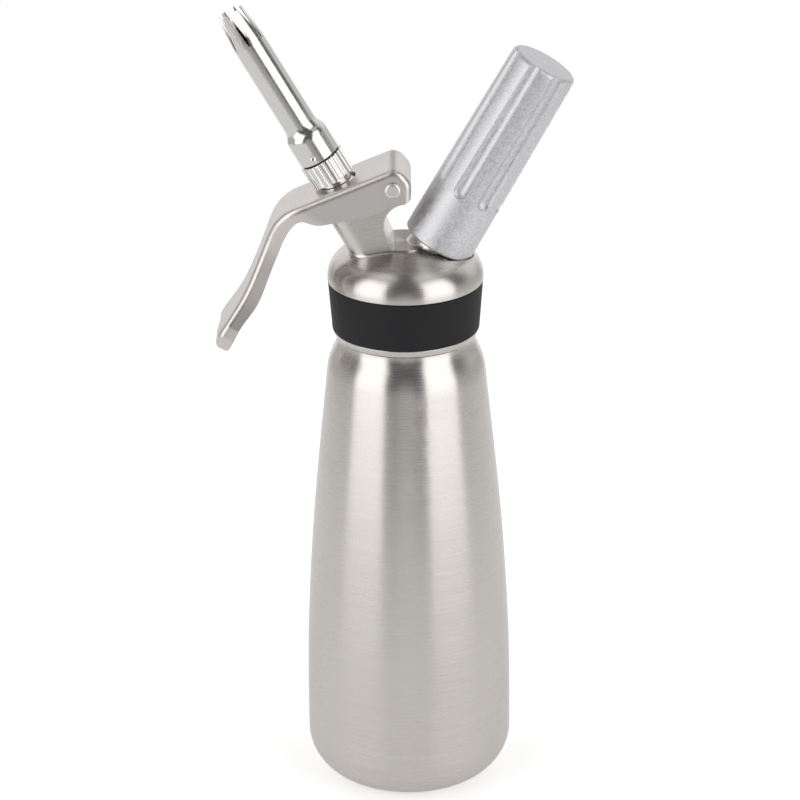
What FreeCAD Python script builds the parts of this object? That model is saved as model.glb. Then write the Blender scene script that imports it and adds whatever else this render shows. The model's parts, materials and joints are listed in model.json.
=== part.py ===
import FreeCAD, Part
import math
import os

# Whipped cream dispenser: a stainless bottle, a cast head that screws onto its neck, a squeeze lever
# that opens the dispensing valve on the left arm, and a holder on the right arm that screws a gas
# cartridge onto the piercing pin.
# Millimetres. Origin: centre of the bottle's base. +Z up, the nozzle leans to -X, the holder to +X.
# Both arms lie in the XZ plane. A place along an arm is a station, measured along the arm's axis
# from the point where that axis crosses the bottle's own axis.

V = FreeCAD.Vector

# ---- clearances -------------------------------------------------------------------------------
RUNNING = 0.05            # radial play of a part that slides or turns in its bore
SEATED = 0.02             # radial play of parts that are assembled and stay together
NECK_THREAD = 0.95        # radial room that the neck's thread fills
FINE_THREAD = 0.65        # radial room that each of the two small threads fills
FREE_GAP = 0.4            # room between parts that pass each other

# ---- bottle -----------------------------------------------------------------------------------
BOTTLE_R = 41.0
BOTTLE_CORNER = 18.0
BOTTLE_WALL = 1.5
SHOULDER_Z = 189.8        # step at the foot of the neck, under the head
# depth below that step, and the share of the way from BOTTLE_R in to the step's radius
BOTTLE_TAPER = [(149.8, 0.004), (129.8, 0.03), (109.8, 0.094), (89.8, 0.184), (69.8, 0.298), (49.8, 0.436),
                (29.8, 0.585), (17.8, 0.674), (10.8, 0.745), (6.3, 0.858), (3.2, 0.957)]
NECK_R = 24.4             # root of the neck's thread
NECK_STEP = 2.5           # how far the step stands out from the neck
NECK_WALL = 1.5
NECK_LENGTH = 18.2
NECK_RIM_CORNER = 0.6

# ---- head, heights above its foot, widths outside its thread ----------------------------------
RING_GAP = 0.5            # between the neck's step and the foot of the head
SKIRT_WALL = 1.65
RING_FOOT_W = 2.25
RING_TOP_W = 3.45
BAND_TOP_W = 4.95
DOME_W = 5.08
BAND_BOTTOM = 2.8
BAND_TOP = 22.7
BAND_TOP_GAP = 0.3
BAND_EDGE = 0.4
DOME_CORNER = 10.0
DOME_CORNER_UP = 24.3     # height of the centre of the dome's corner
DOME_CAP_R = 60.0
GASKET_T = 2.5
GASKET_W = 2.0
CEILING_UP = 23.7         # roof of the hollow inside the head
CEILING_CORNER = 2.0
ARM_FILLET = 1.5          # between the pivot arm and the dome

# ---- saddle and pivot arm ---------------------------------------------------------------------
SADDLE_UP = 38.1
PIVOT_X = -4.6
PIVOT_UP = 63.2
PIVOT_PIN_R = 2.0
THROAT_ACROSS = 5.25      # centre of the round throat, from the pivot
THROAT_BELOW = 15.1
THROAT_R = 8.8
ARM_END_R = 4.8

# ---- lever, offsets (x, z) from its pivot -----------------------------------------------------
SHEET = 1.5
LEVER_HALF_W = 13.6
PLATE_RISE = 7.54         # from the pivot to the plate's top face
PLATE_SLOPE = 22.4
PLATE_END = -32.0         # along the plate's slope
NOSE_TOP = 5.1            # along the plate's slope
NOSE_FRONT = (7.1, 2.4)
NOSE_FOOT = (6.9, -4.8)
NOSE_TOP_CORNER = 5.5
NOSE_FRONT_CORNER = 6.0
GRIP_BACK = [(-39.8, -8.4), (-44.7, -12.6), (-49.2, -21.6), (-55.3, -36.9), (-62.0, -49.5), (-68.3, -59.5)]
TIP_BACK = (-70.5, -66.0)
TIP_DEPTH = 5.4
TIP_CORNER = 2.7
UNDERSIDE = [(-60.8, -58.5), (-53.6, -48.5), (-48.4, -36.7), (-43.9, -25.3), (-39.9, -16.7), (-35.1, -12.6),
             (-30.6, -13.8), (-24.2, -13.4), (-14.6, -11.8), (-5.0, -8.9), (1.4, -6.1)]
UNDERSIDE_START = (0.46, 0.89)
UNDERSIDE_END = (0.95, 0.31)
GRIP_SLOPE = 63.3         # the grip's long direction, below the horizontal
# distance from the pivot along the grip's direction, and how far in from LEVER_HALF_W the side is there
GRIP_WAIST = [(29.2, 0.8), (36.2, 2.4), (44.2, 3.35), (57.2, 3.0), (69.2, 2.0), (77.2, 0.3)]
WAIST_START = 23.2
PADDLE_FLARE = 0.2        # how far the paddle stands out from LEVER_HALF_W
PADDLE_CORNER = 9.5
LEVER_EDGE = 2.4
SLOT_HALF_W = 6.9
SLOT_STRAIGHT = 0.6       # half the length of the slot's straight sides
SLOT_SHIFT = 0.75         # slot centre, from the valve's axis towards the pivot
RIVET_HEAD_R = 3.1
RIVET_HEAD_T = 1.3
RIVET_HEAD_ROUND = 1.0

# ---- dispensing valve, stations on the left arm -----------------------------------------------
VALVE_TILT = -29.8
VALVE_ROOT_UP = 16.15
POST_HALF = 9.15          # from the valve's axis to the left side of the pivot arm
ARM_CORNER = 7.0          # round upright edges of the pivot arm and of its foot
ARM_FOOT_X = 7.0          # right end of the arm's foot, which carries the floor beside the throat
POST_TOP = 44.05
SPRING_WELL_R = 7.3
SPRING_WELL_FLOOR = 33.55
VALVE_SEAT = 15.55
VALVE_SEAT_R = 8.4
STEM_R = 4.5
STEM_WAIST_R = 3.2
STEM_WAIST_TOP = 22.85
STEM_BORE_R = 2.3
STEM_BORE_FOOT = 17.85
STEM_TOP = 61.85
STEM_PORT_R = 1.4
STEM_PORT_AT = 20.25
STEM_FOOT_R = 7.2
STEM_FOOT_T = 2.4
STEM_FOOT_CORNER = 0.8
SEAL_R = 7.6
SEAL_T = 2.0
O_RING_FOOT = 25.85
O_RING_T = 2.0
O_RING_DEPTH = 1.1
SPRING_R = 6.1
SPRING_WIRE_R = 0.6
SPRING_TURNS = 4.5
COLLAR_RIM_R = 8.7
COLLAR_CROWN_OVER = 0.3   # radius of the round crown that the lever's slot presses, over the rim's
COLLAR_FOOT = 46.7
COLLAR_NECK_R = 6.3

# ---- tip adapter and nozzle, stations on the left arm -----------------------------------------
KNURL_FOOT = 55.45
KNURL_TOP = 64.75
KNURL_R = 8.75
KNURL_EDGE = 0.5
KNURL_COUNT = 26
KNURL_CUT_R = 0.8
KNURL_DEPTH = 0.5
SPIGOT_R = 5.7
SPIGOT_LENGTH = 9.1
SPIGOT_BORE_R = 3.8
TIP_SEAL_T = 0.6
TIP_SEAL_R = 7.7
SOCKET_R = 8.2
SOCKET_FOOT_CORNER = 0.3
SOCKET_LENGTH = 10.6
SOCKET_ROOM = 0.8         # from the end of the spigot to the socket's floor
SOCKET_SHOULDER = 3.05    # length of the slope from the socket in to the tube
SOCKET_CORNER = 4.5
TUBE_CORNER = 6.0
TUBE_R = 6.4
TUBE_WALL = 1.1
TAPER_LENGTH = 13.4
TAPER_CORNER = 20.0
TIP_R = 5.1
NOZZLE_LENGTH = 66.5
SLIT_LENGTH = 14.0
SLIT_WIDTH = 3.4
SLIT_END_W = 0.5
SLIT_PAIRS = 3
SLIT_PHASE = 6.0          # one slit looks this far to the right of -Y
DIMPLE_UP = 2.7           # above the nozzle's foot
DIMPLE_R = 1.2
DIMPLE_DEPTH = 0.5
DIMPLE_PHASE = -8.0

# ---- gas side, stations on the right arm ------------------------------------------------------
GAS_TILT = 29.7
GAS_ROOT_UP = 14.97
BOSS_R = 10.4
BOSS_TOP = 25.3
BOSS_FILLET = 1.5
GAS_SPIGOT_R = 9.8
GAS_SPIGOT_TOP = 38.7
GAS_SPIGOT_EDGE = 0.8
PIN_WELL_R = 7.0
PIN_WELL_FLOOR = 22.7
CHECK_WELL_R = 3.2
CHECK_WELL_FLOOR = 15.2
CHECK_FLANGE_T = 1.8
CHECK_LIP_R = 2.1
CHECK_LIP_LENGTH = 5.4
CHECK_WALL = 0.9
CHECK_SLIT = 0.1
GAS_WAY_R = 1.2
FILTER_T = 1.5
PIN_HOLDER_TOP = 37.2
PIN_HOLDER_RING_FOOT = 26.7
PIN_HOLDER_RING_T = 1.8
PIN_HOLDER_RING_DEPTH = 1.1
PIN_HOLDER_WAY_R = 0.6
PIN_HOLDER_WAYS = 3
NECK_WELL_R = 4.8
NECK_WELL_FLOOR = 31.7
PIN_R = 1.2
PIN_TIP_R = 0.3
PIN_CONE_FOOT = 33.1
PIN_TIP = 36.1
CHARGER_SEAL_T = 2.0
CHARGER_SEAL_BORE_R = 2.4

# ---- gas cartridge and its holder, stations on the right arm ----------------------------------
CHARGER_R = 8.9
CHARGER_LENGTH = 65.5
CHARGER_NECK_R = 4.3
CHARGER_NECK_LENGTH = 8.0
CHARGER_SHOULDER = 5.0
CHARGER_WALL = 1.5
CHARGER_HOLE_R = 1.9
CHARGER_NECK_EDGE = 0.8
CHARGER_END_ROUND = 6.0
CUSHION_R = 2.8
HOLDER_FOOT_GAP = 0.4     # from the boss up to the holder's rim
HOLDER_FOOT_R = 14.25
HOLDER_TOP_R = 13.2
HOLDER_TOP = 108.8
HOLDER_CROWN_R = 1.9
HOLDER_RIM_EDGE = 1.2
HOLDER_END_T = 5.0
HOLDER_BORE_R = 9.4
BUSH_R = 12.0
BUSH_LENGTH = 14.0
BUSH_LIP = 0.6            # how far the bush sits inside the holder's rim
FLUTE_COUNT = 8
FLUTE_PHASE = -21.0
FLUTE_CUTTER_R = 3.4
FLUTE_DEPTH = 1.1
FLUTE_FOOT = 51.6         # where the round foot of a flute begins

# ---- places that follow from the sizes above --------------------------------------------------
NECK_FOOT_R = NECK_R + NECK_STEP
NECK_BORE_R = NECK_R - NECK_WALL
NECK_RIM_Z = SHOULDER_Z + NECK_LENGTH
HEAD_Z = SHOULDER_Z + RING_GAP
GASKET_TOP_Z = NECK_RIM_Z + GASKET_T
SKIRT_BORE_R = NECK_R + NECK_THREAD
BAND_SEAT_R = SKIRT_BORE_R + SKIRT_WALL
RING_TOP_R = SKIRT_BORE_R + RING_TOP_W
DOME_R = SKIRT_BORE_R + DOME_W
BAND_BOTTOM_Z = HEAD_Z + BAND_BOTTOM
BAND_TOP_Z = HEAD_Z + BAND_TOP
SADDLE_Z = HEAD_Z + SADDLE_UP
PIVOT_Z = HEAD_Z + PIVOT_UP
PIVOT = (PIVOT_X, PIVOT_Z)
DOWN_GRIP = (-math.cos(math.radians(GRIP_SLOPE)), -math.sin(math.radians(GRIP_SLOPE)))
DOWN_PLATE = (-math.cos(math.radians(PLATE_SLOPE)), -math.sin(math.radians(PLATE_SLOPE)))
PADDLE_END = TIP_BACK[0] * DOWN_GRIP[0] + TIP_BACK[1] * DOWN_GRIP[1]
CHANNEL_HALF_W = LEVER_HALF_W - SHEET
ARM_HALF_W = CHANNEL_HALF_W - FREE_GAP
SEAL_FOOT = VALVE_SEAT - SEAL_T
COLLAR_CROWN_R = COLLAR_RIM_R + COLLAR_CROWN_OVER
STEM_FOOT = SEAL_FOOT - STEM_FOOT_T
SPIGOT_TOP = KNURL_TOP + SPIGOT_LENGTH
NOZZLE_FOOT = KNURL_TOP + TIP_SEAL_T
SOCKET_FLOOR = SPIGOT_TOP + SOCKET_ROOM
SOCKET_TOP = NOZZLE_FOOT + SOCKET_LENGTH
TUBE_FOOT = SOCKET_TOP + SOCKET_SHOULDER
TIP_TOP = NOZZLE_FOOT + NOZZLE_LENGTH
TAPER_FOOT = TIP_TOP - TAPER_LENGTH
PIN_HOLDER_FOOT = PIN_WELL_FLOOR + FILTER_T
HOLDER_FOOT = BOSS_TOP + HOLDER_FOOT_GAP
RELIEF_R = HOLDER_FOOT_R + FREE_GAP
HOLDER_END = HOLDER_TOP - HOLDER_END_T
BUSH_FOOT = HOLDER_FOOT + BUSH_LIP
BUSH_TOP = BUSH_FOOT + BUSH_LENGTH
CHARGER_FOOT = NECK_WELL_FLOOR + CHARGER_SEAL_T
CHARGER_TOP = CHARGER_FOOT + CHARGER_LENGTH
BEYOND = 2.0              # how far a cutting tool runs past what it cuts


# ---- drawing helpers --------------------------------------------------------------------------
def polar(centre, radius, angle):
    return centre[0] + radius * math.cos(angle), centre[1] + radius * math.sin(angle)


def flat(point):
    """A point of the XZ plane as a vector."""
    return V(point[0], 0, point[1])


def line(a, b):
    return Part.LineSegment(flat(a), flat(b)).toShape()


def arc(centre, radius, start, end):
    """Arc of the XZ plane about a centre, between two angles in radians."""
    first, middle, last = [flat(polar(centre, radius, angle)) for angle in (start, (start + end) / 2, end)]
    return Part.Arc(first, middle, last).toShape()


def spline(points, start, end):
    """Smooth curve of the XZ plane through points, with the directions of its two ends."""
    curve = Part.BSplineCurve()
    curve.interpolate(Points=[flat(p) for p in points], InitialTangent=flat(start), FinalTangent=flat(end))
    return curve.toShape()


def rounded(corners, closed=True):
    """Edges of an outline through (x, z, radius) corners, each corner rounded by its radius."""
    points = [flat((x, z)) for x, z, _ in corners]
    joins = []
    for i, (_, _, radius) in enumerate(corners):
        here = points[i]
        if radius == 0:
            joins.append((here, None, here))
            continue
        back = (points[i - 1] - here).normalize()
        ahead = (points[(i + 1) % len(points)] - here).normalize()
        half = back.getAngle(ahead) / 2
        reach = radius / math.tan(half)
        middle = here + (back + ahead).normalize() * (radius / math.sin(half) - radius)
        joins.append((here + back * reach, middle, here + ahead * reach))
    edges = []
    for i, (start, middle, end) in enumerate(joins):
        if middle is not None:
            edges.append(Part.Arc(start, middle, end).toShape())
        if closed or i + 1 < len(joins):
            edges.append(Part.LineSegment(end, joins[(i + 1) % len(joins)][0]).toShape())
    return edges


def face_of(edges):
    return Part.Face(Part.Wire(Part.__sortEdges__(edges)))


def turned(edges):
    """Solid of revolution about Z of a closed outline on the +X side."""
    return face_of(edges).revolve(V(0, 0, 0), V(0, 0, 1), 360)


def lathe(corners):
    return turned(rounded(corners))


def ring(outer, inner, foot, top):
    return lathe([(inner, foot, 0), (outer, foot, 0), (outer, top, 0), (inner, top, 0)])


def rod(radius, foot, top):
    return Part.makeCylinder(radius, top - foot, V(0, 0, foot))


def slab(edges, half_width):
    """Plate with an outline in the XZ plane, equally wide on both sides of it."""
    face = face_of(edges)
    face.translate(V(0, -half_width, 0))
    return face.extrude(V(0, 2 * half_width, 0))


def cross_pin(radius, half_width):
    """Cylinder along Y through the lever's pivot."""
    return Part.makeCylinder(radius, 2 * half_width, V(PIVOT_X, -half_width, PIVOT_Z), V(0, 1, 0))


def spun(shape, angle):
    """Copy turned about Z by an angle in degrees."""
    copy = shape.copy()
    copy.rotate(V(0, 0, 0), V(0, 0, 1), angle)
    return copy


def on_arm(shape, tilt, root_up):
    placed = shape.copy()
    placed.rotate(V(0, 0, 0), V(0, 1, 0), tilt)
    placed.translate(V(0, 0, HEAD_Z + root_up))
    return placed


def on_valve_arm(shape):
    return on_arm(shape, VALVE_TILT, VALVE_ROOT_UP)


def on_gas_arm(shape):
    return on_arm(shape, GAS_TILT, GAS_ROOT_UP)


def valve_point(across, station):
    """Point of the XZ plane from its places across and along the left arm."""
    angle = math.radians(VALVE_TILT)
    x = across * math.cos(angle) + station * math.sin(angle)
    z = HEAD_Z + VALVE_ROOT_UP - across * math.sin(angle) + station * math.cos(angle)
    return x, z


def valve_place(point):
    """Places across and along the left arm of a point of the XZ plane."""
    angle = math.radians(VALVE_TILT)
    x, z = point[0], point[1] - HEAD_Z - VALVE_ROOT_UP
    return x * math.cos(angle) - z * math.sin(angle), x * math.sin(angle) + z * math.cos(angle)


# ---- bottle -----------------------------------------------------------------------------------
def bottle_side(inset):
    """Side of the bottle, drawn in by inset, from the base's corner to the foot of the neck."""
    draw = BOTTLE_R - NECK_FOOT_R
    stations = [(BOTTLE_R - share * draw - inset, SHOULDER_Z - depth) for depth, share in BOTTLE_TAPER]
    return [(BOTTLE_R - inset, BOTTLE_CORNER)] + stations + [(NECK_FOOT_R - inset, SHOULDER_Z)]


def bottle():
    """Spun bottle: rounded base, long taper, S-shaped shoulder and a plain neck."""
    outside = bottle_side(0)
    inside = bottle_side(BOTTLE_WALL)
    foot = BOTTLE_R - BOTTLE_CORNER
    centre = (foot, BOTTLE_CORNER)
    down, right, up = -math.pi / 2, 0, (0, 1)
    lead_z = SHOULDER_Z + BOTTLE_WALL
    neck = rounded([(NECK_R, SHOULDER_Z, 0), (NECK_R, NECK_RIM_Z, NECK_RIM_CORNER),
                    (NECK_BORE_R, NECK_RIM_Z, NECK_RIM_CORNER), (NECK_BORE_R, lead_z, 0)], closed=False)
    wall_out = [line((0, 0), (foot, 0)), arc(centre, BOTTLE_CORNER, down, right), spline(outside, up, up),
                line(outside[-1], (NECK_R, SHOULDER_Z))]
    wall_in = [line((NECK_BORE_R, lead_z), inside[-1]), spline(inside, up, up),
               arc(centre, BOTTLE_CORNER - BOTTLE_WALL, right, down), line((foot, BOTTLE_WALL), (0, BOTTLE_WALL)),
               line((0, BOTTLE_WALL), (0, 0))]
    return turned(wall_out + neck + wall_in)


# ---- head -------------------------------------------------------------------------------------
def dome():
    """Outside of the head without its arms: ring, seat of the band, and a low dome."""
    reach = DOME_R - DOME_CORNER
    corner_z = HEAD_Z + DOME_CORNER_UP
    cap_z = corner_z - math.sqrt((DOME_CAP_R - DOME_CORNER) ** 2 - reach ** 2)
    join = math.atan2(corner_z - cap_z, reach)
    foot_r = SKIRT_BORE_R + RING_FOOT_W
    arcs = [arc((0, cap_z), DOME_CAP_R, math.pi / 2, join), arc((reach, corner_z), DOME_CORNER, join, 0)]
    corners = [(DOME_R, corner_z), (DOME_R, BAND_TOP_Z), (BAND_SEAT_R, BAND_TOP_Z), (BAND_SEAT_R, BAND_BOTTOM_Z),
               (RING_TOP_R, BAND_BOTTOM_Z), (foot_r, HEAD_Z), (0, HEAD_Z), (0, cap_z + DOME_CAP_R)]
    return turned(arcs + [line(a, b) for a, b in zip(corners, corners[1:])])


def seam(shape, first, second):
    """Edges of a shape that lie on the faces of two others at once."""
    found = []
    for edge in shape.Edges:
        middle = Part.Vertex(edge.valueAt((edge.FirstParameter + edge.LastParameter) / 2))
        gaps = [min(face.distToShape(middle)[0] for face in other.Faces) for other in (first, second)]
        if max(gaps) < RUNNING / 10:
            found.append(edge)
    return found


def edges_through(shape, points):
    """Edges of a shape whose middles lie at the given points."""
    found = []
    for edge in shape.Edges:
        middle = edge.valueAt((edge.FirstParameter + edge.LastParameter) / 2)
        if min(middle.distanceToPoint(point) for point in points) < RUNNING:
            found.append(edge)
    return found


def pivot_arm():
    """Flat-sided arm that stands on the dome from the valve up to the lever's pivot, with a foot to its right."""
    root = valve_point(-POST_HALF, VALVE_SEAT)
    left_rim, right_rim = [valve_point(side, POST_TOP) for side in (-POST_HALF, POST_HALF)]
    across, up = right_rim[0] - PIVOT_X, right_rim[1] - PIVOT_Z
    touch = math.atan2(up, across) + 2 * math.pi - math.acos(ARM_END_R / math.hypot(across, up))
    front, foot_top = PIVOT_X + ARM_END_R, SADDLE_Z + ARM_CORNER
    corners = [(front, PIVOT_Z), (front, foot_top), (ARM_FOOT_X, foot_top), (ARM_FOOT_X, root[1]), root, left_rim,
               right_rim, polar(PIVOT, ARM_END_R, touch)]
    outline = [line(a, b) for a, b in zip(corners, corners[1:])]
    arm = slab(outline + [arc(PIVOT, ARM_END_R, touch, 0)], ARM_HALF_W)
    upright = [(root, left_rim), (corners[2], corners[3])]
    middles = [(flat(a) + flat(b)) / 2 + V(0, side, 0) for a, b in upright for side in (-ARM_HALF_W, ARM_HALF_W)]
    return arm.makeFillet(ARM_CORNER, edges_through(arm, middles))


def saddle():
    """What is cut away between the pivot arm and the gas boss: the round throat and the flat floor."""
    throat = (PIVOT_X + THROAT_ACROSS, PIVOT_Z - THROAT_BELOW)
    top = math.pi - math.acos((THROAT_ACROSS - ARM_END_R) / THROAT_R)
    drop = throat[1] - SADDLE_Z
    foot = math.pi + math.atan2(drop, THROAT_ACROSS) - math.acos(THROAT_R / math.hypot(THROAT_ACROSS, drop))
    wall_top = polar(throat, THROAT_R, foot)
    front = PIVOT_X + ARM_END_R
    outline = [line((front, PIVOT_Z), polar(throat, THROAT_R, top)), arc(throat, THROAT_R, top, foot),
               line(wall_top, (PIVOT_X, SADDLE_Z)), line((PIVOT_X, SADDLE_Z), (DOME_R, SADDLE_Z)),
               line((DOME_R, SADDLE_Z), (DOME_R, PIVOT_Z)), line((DOME_R, PIVOT_Z), (front, PIVOT_Z))]
    return slab(outline, DOME_R)


def head_casting():
    body, arm = dome(), pivot_arm()
    blank = body.fuse(arm).removeSplitter()
    blank = blank.makeFillet(ARM_FILLET, seam(blank, body, arm))
    relief = on_gas_arm(rod(RELIEF_R, BOSS_TOP, HOLDER_TOP))
    blank = blank.cut([saddle(), relief])
    boss = on_gas_arm(rod(BOSS_R, CHECK_WELL_FLOOR, BOSS_TOP))
    joined = blank.fuse(boss).removeSplitter()
    joined = joined.makeFillet(BOSS_FILLET, seam(joined, blank, boss))
    spigot = lathe([(0, CHECK_WELL_FLOOR, 0), (GAS_SPIGOT_R, CHECK_WELL_FLOOR, 0),
                    (GAS_SPIGOT_R, GAS_SPIGOT_TOP, GAS_SPIGOT_EDGE), (0, GAS_SPIGOT_TOP, 0)])
    joined = joined.fuse(on_gas_arm(spigot)).removeSplitter()
    hollow_r = NECK_R - GASKET_W
    ceiling_z = HEAD_Z + CEILING_UP
    hollow = lathe([(0, HEAD_Z - BEYOND, 0), (hollow_r, HEAD_Z - BEYOND, 0), (hollow_r, ceiling_z, CEILING_CORNER),
                    (0, ceiling_z, 0)])
    thread = rod(SKIRT_BORE_R, HEAD_Z - BEYOND, GASKET_TOP_Z)
    valve_cuts = [rod(STEM_R + RUNNING, VALVE_SEAT, POST_TOP),
                  rod(SPRING_WELL_R, SPRING_WELL_FLOOR, POST_TOP + BEYOND),
                  rod(VALVE_SEAT_R, SEAL_FOOT - VALVE_SEAT_R, VALVE_SEAT)]
    gas_cuts = [rod(PIN_WELL_R, PIN_WELL_FLOOR, GAS_SPIGOT_TOP + BEYOND),
                rod(CHECK_WELL_R, CHECK_WELL_FLOOR, PIN_WELL_FLOOR), rod(GAS_WAY_R, 0, CHECK_WELL_FLOOR)]
    tools = [hollow, thread, cross_pin(PIVOT_PIN_R + RUNNING, LEVER_HALF_W)]
    tools += [on_valve_arm(tool) for tool in valve_cuts] + [on_gas_arm(tool) for tool in gas_cuts]
    return joined.cut(tools)


def head_gasket():
    return ring(NECK_R, NECK_R - GASKET_W, NECK_RIM_Z, GASKET_TOP_Z)


def grip_band():
    """Soft band round the head, wider at its top."""
    bore = BAND_SEAT_R + SEATED
    top_z = BAND_TOP_Z - BAND_TOP_GAP
    return lathe([(bore, BAND_BOTTOM_Z, 0), (RING_TOP_R, BAND_BOTTOM_Z, BAND_EDGE),
                  (SKIRT_BORE_R + BAND_TOP_W, top_z, BAND_EDGE), (bore, top_z, 0)])


# ---- lever ------------------------------------------------------------------------------------
def from_pivot(offset):
    return PIVOT_X + offset[0], PIVOT_Z + offset[1]


def on_plate(along, depth=0.0):
    """Point of the XZ plane on the slope of the plate, sunk below its top face."""
    rise = PLATE_RISE - depth
    return from_pivot((rise * DOWN_PLATE[1] - along * DOWN_PLATE[0], -rise * DOWN_PLATE[0] - along * DOWN_PLATE[1]))


def plate_over_valve():
    """Place along the plate's slope where the valve's axis comes through its top face."""
    lift = PLATE_RISE / math.cos(math.radians(PLATE_SLOPE))
    foot = valve_point(0, 0)
    tilt, slope = math.radians(VALVE_TILT), math.radians(PLATE_SLOPE)
    gap = PIVOT_Z + lift + (foot[0] - PIVOT_X) * math.tan(slope) - foot[1]
    station = gap / (math.cos(tilt) - math.sin(tilt) * math.tan(slope))
    x, z = valve_point(0, station)
    return (PIVOT_X - x) * DOWN_PLATE[0] + (PIVOT_Z - z) * DOWN_PLATE[1]


def inset_corners(corners, depth):
    """Corners of an outline moved inward by depth; its two ends only give directions."""
    moved = []
    for (ax, az, _), (bx, bz, radius), (cx, cz, _) in zip(corners, corners[1:], corners[2:]):
        here = flat((bx, bz))
        back = (flat((ax, az)) - here).normalize()
        ahead = (flat((cx, cz)) - here).normalize()
        point = here + (back + ahead).normalize() * (depth / math.sin(back.getAngle(ahead) / 2))
        moved.append((point.x, point.z, radius - depth))
    return moved


def grip_back(depth):
    """Curve of the bent sheet from the plate to the end of the grip, sunk below its outer face."""
    points = [on_plate(PLATE_END)] + [from_pivot(point) for point in GRIP_BACK + [TIP_BACK]]
    curve = spline(points, DOWN_PLATE, DOWN_GRIP).Curve
    sunk = []
    for point in points:
        along = curve.tangent(curve.parameter(flat(point)))[0]
        sunk.append((point[0] - along.z * depth, point[1] + along.x * depth))
    return sunk, spline(sunk, DOWN_PLATE, DOWN_GRIP)


def nose_corners():
    top = on_plate(NOSE_TOP)
    front, foot, plate_end = from_pivot(NOSE_FRONT), from_pivot(NOSE_FOOT), on_plate(PLATE_END)
    return [(*plate_end, 0), (*top, NOSE_TOP_CORNER), (*front, NOSE_FRONT_CORNER), (*foot, 0)]


def lever_web():
    """Edges of the lever's outer face seen from its side, from the foot of the nose to the end of the grip."""
    return rounded(nose_corners(), closed=False) + [grip_back(0)[1]]


def lever_side():
    """Closed outline of the lever seen from its side."""
    tip = from_pivot(TIP_BACK)
    corner = tip[0] - DOWN_GRIP[1] * TIP_DEPTH, tip[1] + DOWN_GRIP[0] * TIP_DEPTH
    underside = [from_pivot(point) for point in UNDERSIDE]
    end = rounded([(*tip, 0), (*corner, TIP_CORNER), (*underside[0], 0)], closed=False)
    belly = [spline(underside, UNDERSIDE_START, UNDERSIDE_END), line(underside[-1], from_pivot(NOSE_FOOT))]
    return lever_web() + end + belly


def lever_plan(inset):
    """Prism that trims the lever to its outline seen square to the grip, drawn in by inset."""
    wide, paddle = LEVER_HALF_W - inset, LEVER_HALF_W + PADDLE_FLARE - inset
    corner, end = PADDLE_CORNER - inset, PADDLE_END - inset
    stations = [(WAIST_START, wide)] + [(q, wide - waist) for q, waist in GRIP_WAIST] + [(end - corner, paddle)]
    start = (-LEVER_HALF_W, wide)
    side = [line(start, stations[0]), spline(stations, (1, 0), (1, 0)),
            arc((end - corner, paddle - corner), corner, math.pi / 2, 0)]
    side += [edge.mirror(V(0, 0, 0), V(0, 0, 1)) for edge in side]
    ends = [line((x, -half), (x, half)) for x, half in ((-LEVER_HALF_W, wide), (end, paddle - corner))]
    prism = slab(side + ends, DOME_CAP_R)
    prism.rotate(V(0, 0, 0), V(1, 0, 0), -90)
    prism.rotate(V(0, 0, 0), V(0, 1, 0), 180 - GRIP_SLOPE)
    prism.translate(flat(PIVOT))
    return prism


def lever_hollow():
    """What is left open between the lever's two flanges."""
    stations, back = grip_back(SHEET)
    corners = inset_corners(nose_corners(), SHEET)
    low = PIVOT_Z + TIP_BACK[1] - LEVER_HALF_W
    floor = [(stations[-1][0], low, 0), (corners[-1][0], low, 0)]
    front = rounded([(*stations[0], 0)] + corners + floor[::-1], closed=False)
    run_out = line((stations[-1][0], low), stations[-1])
    return slab([back, run_out] + front, CHANNEL_HALF_W).common(lever_plan(SHEET))


def lever_slot():
    """Oval hole through the plate round the valve's collar."""
    slot = Part.makeBox(2 * SLOT_STRAIGHT, 2 * SLOT_HALF_W, 2 * SHEET, V(-SLOT_STRAIGHT, -SLOT_HALF_W, -SHEET))
    for x in (-SLOT_STRAIGHT, SLOT_STRAIGHT):
        slot = slot.fuse(Part.makeCylinder(SLOT_HALF_W, 2 * SHEET, V(x, 0, -SHEET)))
    slot.rotate(V(0, 0, 0), V(0, 1, 0), -PLATE_SLOPE)
    slot.translate(flat(on_plate(plate_over_valve() + SLOT_SHIFT, SHEET / 2)))
    return slot


def outer_edges(solid, sheet):
    """Edges round the outside of those faces of a solid that lie on a sheet."""
    seen = {}
    for face in solid.Faces:
        u_low, u_high, v_low, v_high = face.ParameterRange
        middle = face.valueAt((u_low + u_high) / 2, (v_low + v_high) / 2)
        if sheet.distToShape(Part.Vertex(middle))[0] > SEATED:
            continue
        for edge in face.Edges:
            seen.setdefault(edge.hashCode(), []).append(edge)
    return [edges[0] for edges in seen.values() if len(edges) == 1]


def lever():
    """Squeeze lever of bent sheet: plate, two flanges, nose and a waisted grip."""
    blank = slab(lever_side(), LEVER_HALF_W).common(lever_plan(0))
    skin = Part.Wire(Part.__sortEdges__(lever_web()))
    skin.translate(V(0, -LEVER_HALF_W, 0))
    blank = blank.makeFillet(LEVER_EDGE, outer_edges(blank, skin.extrude(V(0, 2 * LEVER_HALF_W, 0))))
    return blank.cut([lever_hollow(), lever_slot(), cross_pin(PIVOT_PIN_R + SEATED, LEVER_HALF_W + BEYOND)])


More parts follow.
